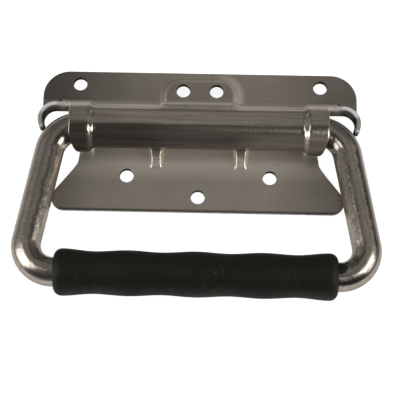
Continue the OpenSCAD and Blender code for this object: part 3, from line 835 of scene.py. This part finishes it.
# The bare hole walls and the ears' painted shade, then the ears' painted highlight.
bare_and_painted_shade, painted_edge_highlight = ramp(plate_tree, cut, 0.0, 1.0), ramp(plate_tree, cut, -0.2, -1.0)
burnish = zone(1.0, (pz, 3.6, 6.5, 1.0, 0.5))
roughness = plus(plate_tree, times(plate_tree, fed_by(plate_tree, "Roughness"), burnish),
                 times(plate_tree, bare_and_painted_shade, 0.2), times(plate_tree, under, 0.3))
# Less metal where light is painted: the ears' edges, the lower edge's wall and the web.
matte_painted_light = calc(plate_tree, "MAXIMUM", painted_edge_highlight, front_wall, times(plate_tree, web, 0.8))
metal = times(plate_tree, zone(1.0, (pz, 2.4, 5.0, 0.6, 1.0)), less(plate_tree, matte_painted_light))
dress(plate_tree, {"Roughness": roughness, "Metallic": metal})
print("roughness and metal set for", plate_zinc.name)

# %% [markdown]
# The pocket's slope is soft and hardly shows from above without help, so a highlight is painted on it. The nodes
# repeat the distance from the rounded rectangle that shaped the mesh, so the painted lighter crest and skirt lie
# exactly on the slope. The right side is painted lighter than the left.

# %% The pocket's rim, a painted highlight
from_corner = add(plate_tree, "ShaderNodeCombineXYZ", {
    "X": calc(plate_tree, "SUBTRACT", wide, (POCKET_HALF - POCKET_R) * MM),
    "Y": calc(plate_tree, "SUBTRACT", py, (HINGE_Y + POCKET_RISE - POCKET_R) * MM)}).outputs["Vector"]
past_corner = add(plate_tree, "ShaderNodeVectorMath", {0: from_corner}, operation="MAXIMUM").outputs["Vector"]
reach = add(plate_tree, "ShaderNodeVectorMath", {0: past_corner}, operation="LENGTH").outputs["Value"]
slope = calc(plate_tree, "SUBTRACT", reach, POCKET_R * MM)
crest = zone(0.5, (slope, 0.2, 0.8), (slope, 1.8, 1.2))
skirt = zone(0.12, (slope, 1.2, 2.0), (slope, 4.0, 3.0))
right_skirt = zone(0.8, (px, 5.0, 12.0), (slope, 0.6, 1.6), (slope, 5.4, 3.2))
# Painted highlight on the pocket's rim, only on the flange.
rim_light = times(plate_tree, zone(1.0, (py, 27.8, 28.5)), plus(plate_tree, crest, skirt, right_skirt))
print("rim of the pocket:", POCKET_R, "mm corners")

# %% [markdown]
# The colour comes last, because it gathers all the zones. The fold, the gussets and the web get a lighter tone as
# painted light, and the lower edge's wall a painted highlight. Then one factor makes places lighter or darker:
# painted light on the pocket's rim and the barrel's lower right, painted shade in most darker places, and fine
# streaks along the barrel, which are noise that is stretched twenty times along X. The ears' painted highlights,
# and then the bare hole walls and the ears' painted shade, go on top.

# %% Colour of the plate
FOLD_LIGHT_TONE, WEB_LIGHT_TONE, WALL_HIGHLIGHT_TONE = (0.92, 0.84, 0.73, 1), (0.96, 0.88, 0.78, 1), (0.5, 0.48, 0.45, 1)
EDGE_HIGHLIGHT_TONE, BARE_AND_SHADE_TONE = (0.97, 0.96, 0.94, 1), (0.07, 0.066, 0.058, 1)
streaks = noise(plate_tree, stretched(plate_tree, plate_place, (0.05, 1, 1)), 900.0)
drawn = times(plate_tree, zone(1.0, (pz, 3.6, 6.5)), ramp(plate_tree, streaks, 0.34, 0.66, -0.18, 0.18))
# Painted light on the lower right of the barrel.
barrel_right_painted_light = zone(0.9, (pz, 8.2, 10.8), (px, 11.0, 22.0), (py, 12.2, 10.8))
# Painted shade in most of these places: under the barrel, on the flange and more on its left, as a dark reflection
# along the lower edge, on the lower part of the left collar and on the barrel's left. Both ends and the lower plate
# are only made darker.
darker = {
    "under the barrel": times(plate_tree, under, 0.42),
    "flange": zone(0.15, (py, 27.8, 29.0)),
    "flange's left": zone(0.46, (px, -5.0, -50.0), (py, 27.8, 29.0)),
    "both ends": zone(0.4, (wide, 24.0, 54.0), (pz, 4.0, 7.0, 1.0, 0.5)),
    "line at the lower edge": zone(0.6, (py, -12.1, -12.5), (pz, 1.5, 1.8)),
    "left collar": zone(0.4, (px, -38.5, -39.5), (py, 14.8, 13.0), (pz, 3.6, 6.0)),
    "lower plate": zone(0.1, (py, 6.0, -1.0)),
    "barrel's left": zone(0.42, (pz, 3.6, 6.0), (wide, 38.5, 37.0), (px, -4.0, -22.0), (py, 15.2, 13.8))}
shade = times(plate_tree, plus(plate_tree, 1.0, barrel_right_painted_light, rim_light, drawn),
              *[less(plate_tree, part) for part in darker.values()])
# Painted light by the fold, on the gussets and on the web, and a painted highlight on the lower edge's wall.
painted_fold_and_gusset_light = calc(plate_tree, "MAXIMUM", painted_fold_light, gusset)
plated = fed_by(plate_tree, "Base Color")
for part, tone in ((painted_fold_and_gusset_light, FOLD_LIGHT_TONE), (web, WEB_LIGHT_TONE), (front_wall, WALL_HIGHLIGHT_TONE)):
    plated = mixed(plate_tree, part, plated, tone)
# Painted highlight on the ears' outer edges.
plated = mixed(plate_tree, painted_edge_highlight, scaled(plate_tree, plated, shade), EDGE_HIGHLIGHT_TONE)
# The bare walls of the holes, and the ears' inner sides as painted shade.
dress(plate_tree, {"Base Color": mixed(plate_tree, bare_and_painted_shade, plated, BARE_AND_SHADE_TONE)})
print("darker places:", ", ".join(darker))

# %% [markdown]
# A rolled barrel is never quite round: long shallow waves run along it and break up its reflections.
# They are too shallow for the mesh, so a second bump adds them to the first one, almost only on the
# barrel.

# %% Waves on the barrel
WAVE_DEPTH = 0.25 * MM
waves = noise(plate_tree, stretched(plate_tree, plate_place, (0.1, 1, 1)), 240.0)
grain = noise(plate_tree, plate_place, 1500.0, 2.0)
rolled = add(plate_tree, "ShaderNodeBump", {
    "Strength": zone(0.5, (pz, 3.6, 6.5), (py, 22.5, 19.5, 0.1, 1.0)), "Distance": WAVE_DEPTH,
    "Height": plus(plate_tree, waves, times(plate_tree, grain, 0.22)),
    "Normal": fed_by(plate_tree, "Normal")})
dress(plate_tree, {"Normal": rolled.outputs["Normal"]})
print("waves up to", WAVE_DEPTH, "m deep")

# %% [markdown]
# The bar's reflections are painted into its colour as dark and light bands along its whole length. The mesh says
# which way each point faces, from -1 on the outside of the bail to 1 on its inside. Ramps of that number draw the
# painted bands, and noise makes their borders ragged.

# %% Painted light and shade along the bar
bar_tree = bar_zinc.node_tree
bar_place = add(bar_tree, "ShaderNodeTexCoord").outputs["Object"]
bar_x, bar_y, _ = split(bar_tree, bar_place)
facing = add(bar_tree, "ShaderNodeAttribute", attribute_name="inward").outputs["Fac"]
wander = ramp(bar_tree, noise(bar_tree, bar_place, 420.0, 4.0, 0.65), 0.3, 0.7, -0.16, 0.16)
ragged = plus(bar_tree, facing, wander)
# Painted shade: a dark band on the outer side, one on the inner side, and a darker inner half.
outer_painted_shade = mask(bar_tree, 0.6, (ragged, -0.44, -0.52), (facing, -0.8, -0.72), (bar_x, -0.02, 0.02, 0.35, 1.0))
inner_painted_shade = mask(bar_tree, 0.4, (ragged, 0.22, 0.3), (ragged, 0.5, 0.4))
inner_half_painted_shade = mask(bar_tree, 0.3, (facing, 0.3, 0.45), (ragged, 0.75, 0.6))
# Painted highlight on the rims: the inner rim lighter on the left and near the grip, darker on the right above it.
lit_part = calc(bar_tree, "MAXIMUM", ramp(bar_tree, bar_x, 0.02, -0.02, -0.35, 1.0),
                ramp(bar_tree, bar_y, -0.008, -0.02, -0.35, 0.5))
inner_rim = times(bar_tree, mask(bar_tree, 0.6, (ragged, 0.62, 0.78)), lit_part)
outer_rim = mask(bar_tree, 0.3, (facing, -0.74, -0.84))
bar_shade = times(bar_tree, plus(bar_tree, 1.0, outer_rim, inner_rim),
                  *[less(bar_tree, line) for line in (outer_painted_shade, inner_painted_shade, inner_half_painted_shade)])
dress(bar_tree, {"Base Color": scaled(bar_tree, fed_by(bar_tree, "Base Color"), bar_shade)})
print("bar's look:", len(bar_tree.nodes), "nodes")

# %% [markdown]
# The grip is moulded black rubber. It is nearly matte, with a dusting of pale specks and a faint sheen
# where hands have polished it. One coarse cloud decides where the specks gather and where the rubber
# is smoother. What is the same all over is set on the shader itself, so that the export keeps it.

# %% Rubber
RUBBER_BLACK, DUST, SHEEN_TINT = (0.009, 0.009, 0.006, 1), (0.2, 0.17, 0.11, 1), (1, 0.95, 0.82, 1)


def rubber_look():
    """Black rubber: specks = noise * cloud pick the colour, and the cloud alone picks the roughness."""
    look, tree = new_look("grip_rubber_look")
    place = add(tree, "ShaderNodeTexCoord").outputs["Object"]
    cloud = noise(tree, place, 70.0)
    specks = mask(tree, 0.9, (noise(tree, place, 1900.0, 2.0, 0.55), 0.64, 0.74), (cloud, 0.47, 0.62))
    relief = add(tree, "ShaderNodeBump", {"Strength": 0.35, "Distance": 0.1 * MM,
                                          "Height": noise(tree, place, 2600.0)})
    dress(tree, {"Base Color": mixed(tree, specks, RUBBER_BLACK, DUST), "Normal": relief.outputs["Normal"],
                 "Roughness": ramp(tree, cloud, 0.35, 0.65, 0.62, 0.46), "Specular IOR Level": 0.22,
                 "Sheen Weight": 0.035, "Sheen Tint": SHEEN_TINT})
    return look


rubber = rubber_look()
for piece in (grip, tongue):
    piece.data.materials.append(rubber)
    print(piece.name, "wears", rubber.name)

# %% [markdown]
# The photograph looks down on the plate, about 18 degrees from square, through a long lens. The
# camera was fitted to the screw holes and the outline: a point's pixel is 200 + f * sideways / ahead.
# Its three axes are the columns of its matrix.

# %% Camera
CAM_AZ, CAM_EL, CAM_ROLL = (math.radians(a) for a in (1.9, 71.5, -0.72))
CAM_F_PX, CAM_DIST, IMAGE_PX, SENSOR = 1335.0, 467.6, 400, 36
CAM_TARGET = Vector((0.87, -9.3, 4.0)) * MM
back = Vector((math.sin(CAM_AZ) * math.cos(CAM_EL), -math.cos(CAM_AZ) * math.cos(CAM_EL), math.sin(CAM_EL)))
level = Vector((math.cos(CAM_AZ), math.sin(CAM_AZ), 0))
upright = back.cross(level)
cam_right = level * math.cos(CAM_ROLL) + upright * math.sin(CAM_ROLL)
cam_up = upright * math.cos(CAM_ROLL) - level * math.sin(CAM_ROLL)
camera = bpy.data.objects.new("camera", bpy.data.cameras.new("camera"))
camera.data.sensor_width = SENSOR
camera.data.lens = CAM_F_PX / IMAGE_PX * SENSOR
camera.data.clip_start = 0.01
axes = Matrix((cam_right, cam_up, back)).transposed().to_4x4()
camera.matrix_world = Matrix.Translation(CAM_TARGET + back * CAM_DIST * MM) @ axes
scene.collection.objects.link(camera)
scene.camera = camera
print("lens", round(camera.data.lens, 1), "mm")

# %% [markdown]
# A mirror shows its room, so the room is part of the look. The floor is pale and keeps the part's shadow. For the
# camera it also glows a little, which makes the background white with no more light on the part. Rays that the
# metal sends on see it glow further out, and close to the plate they see a darker colour painted on it as the shade
# under the part.

# %% Floor
FLOOR_HALF, FLOOR_DROP, FLOOR_GLOW, MIRRORED_GLOW = 4.0, 0.2 * MM, 0.86, 0.37
FLOOR_TONE, FLOOR_SHADE_TONE = (0.86, 0.86, 0.86, 1), (0.28, 0.28, 0.28, 1)
floor_mesh = bpy.data.meshes.new("floor")
floor_mesh.from_pydata([(FLOOR_HALF * x, FLOOR_HALF * y, 0) for x, y in ((-1, -1), (1, -1), (1, 1), (-1, 1))],
                       [], [(0, 1, 2, 3)])
floor = bpy.data.objects.new("floor", floor_mesh)
floor.location.z = -FLOOR_DROP
scene.collection.objects.link(floor)
floor_look, floor_tree = new_look("pale_floor")
floor.data.materials.append(floor_look)
ray = add(floor_tree, "ShaderNodeLightPath").outputs
floor_x, floor_y, _ = split(floor_tree, add(floor_tree, "ShaderNodeTexCoord").outputs["Object"])
far_out = calc(floor_tree, "MAXIMUM",
               ramp(floor_tree, calc(floor_tree, "ABSOLUTE", floor_x, 0.0), 0.056, 0.066, 0.0, 0.8),
               ramp(floor_tree, floor_y, 0.002, -0.012, 0.0, 0.7), ramp(floor_tree, floor_y, -0.046, -0.06))
mirrored = times(floor_tree, ray["Is Glossy Ray"], far_out, MIRRORED_GLOW)
# Painted shade: glossy rays see a darker floor colour close to the part.
painted_floor_shade = times(floor_tree, ray["Is Glossy Ray"], less(floor_tree, far_out))
seen = calc(floor_tree, "MAXIMUM", ray["Is Camera Ray"], ray["Is Transmission Ray"], mirrored)
dress(floor_tree, {"Base Color": mixed(floor_tree, painted_floor_shade, FLOOR_TONE, FLOOR_SHADE_TONE), "Roughness": 1.0,
                   "Specular IOR Level": 0.0, "Emission Color": (1, 1, 1, 1),
                   "Emission Strength": times(floor_tree, seen, FLOOR_GLOW)})
print("floor", 2 * FLOOR_HALF, "m wide")

# %% [markdown]
# The sky is a dim, slightly warm grey, which the plate mirrors towards the camera. It is brighter
# behind the part and low at both sides. A few round windows in it make the highlights on the barrel,
# the collars and the ears: each is a ramp of the cosine of the angle to its middle.

# %% World
SKY_GREY, PANEL_GREY, PANEL_MIDDLE = 0.11, 0.07, 0.16
SKY_TINT = {"Red": 1.0, "Green": 0.985, "Blue": 0.96}
WINDOWS = [((0.72, 0.32, 0.6), 0.93, 0.985, 0.2), ((-0.78, 0.32, 0.5), 0.88, 0.98, 0.22),
           ((0.29, 0.33, 0.9), 0.991, 0.997, 0.3), ((0.17, -0.43, 0.89), 0.993, 0.999, 0.7),
           ((0.18, -0.32, 0.93), 0.993, 0.999, 0.45), ((0.18, -0.53, 0.83), 0.993, 0.999, 0.45)]
world = bpy.data.worlds.new("studio")
scene.world = world
world.use_nodes = True
sky_tree = world.node_tree
way = add(sky_tree, "ShaderNodeTexCoord").outputs["Generated"]
sky_x, sky_y, sky_z = split(sky_tree, way)
aside = calc(sky_tree, "ABSOLUTE", sky_x, 0.0)


def window(towards, low, high, strength):
    """A soft round patch of light in the sky, from the cosine of the angle to its middle."""
    cosine = add(sky_tree, "ShaderNodeVectorMath", {0: way, 1: Vector(towards).normalized()},
                 operation="DOT_PRODUCT")
    return ramp(sky_tree, cosine.outputs["Value"], low, high, 0.0, strength)


panel = times(sky_tree, plus(sky_tree, mask(sky_tree, PANEL_MIDDLE, (aside, 0.26, 0.02)), PANEL_GREY),
              ramp(sky_tree, sky_y, 0.2, 0.5, 1.0, 0.9), ramp(sky_tree, sky_y, 0.02, 0.14))
low_sides = mask(sky_tree, 0.12, (aside, 0.8, 0.92), (sky_z, 0.32, 0.2))
glow = plus(sky_tree, panel, low_sides, SKY_GREY, *[window(*one) for one in WINDOWS])
tint = add(sky_tree, "ShaderNodeCombineColor",
           {channel: times(sky_tree, glow, warmth) for channel, warmth in SKY_TINT.items()})
feed(sky_tree, sky_tree.nodes["Background"].inputs["Color"], tint.outputs["Color"])
sky_tree.nodes["Background"].inputs["Strength"].default_value = 1.0
print("sky with", len(WINDOWS), "windows")

# %% [markdown]
# Two kinds of lamps share the work. Three large ones light the part and its shadow but stay out of
# the mirror, where they would be hard white squares. Three strips do the opposite: only the bar and
# the ears mirror them, as long bright streaks.

# %% Lamps
def lamp(name, place, aim, wide, long, watts, colour):
    """A rectangular area lamp at a place, aimed at a point, its long side along Y."""
    light = bpy.data.lights.new(name, "AREA")
    light.shape, light.size, light.size_y = "RECTANGLE", wide, long
    light.energy, light.color = watts, colour
    obj = bpy.data.objects.new(name, light)
    obj.location = place
    obj.rotation_euler = (Vector(aim) - Vector(place)).to_track_quat("-Z", "Y").to_euler()
    scene.collection.objects.link(obj)
    return obj


LARGE = [("key", (-0.75, 0.35, 0.72), 2.6, (1.0, 0.98, 0.95)), ("fill", (0.85, -0.1, 0.6), 2.0, (0.95, 0.97, 1.0)),
         ("front", (0.1, -0.9, 0.7), 2.4, (0.97, 0.98, 1.0))]
STRIPS = [("strip_left", (-0.26, -0.03, 0.42), -0.06, 0.16, 0.12, 0.25),
          ("low_left", (-0.19, -0.06, 0.095), -0.06, 0.09, 0.14, 0.14),
          ("strip_right", (0.19, -0.06, 0.12), 0.06, 0.09, 0.14, 0.22)]
for name, place, watts, colour in LARGE:
    lamp(name, place, (0, 0, 0), 0.4, 0.4, watts, colour).visible_glossy = False
for name, place, aim_x, wide_m, long_m, watts in STRIPS:
    lamp(name, place, (aim_x, -0.03, 0.008), wide_m, long_m, watts, (1, 1, 1)).visible_diffuse = False
scene.view_settings.view_transform = "Standard"
print("lamps:", len(LARGE), "large,", len(STRIPS), "strips")
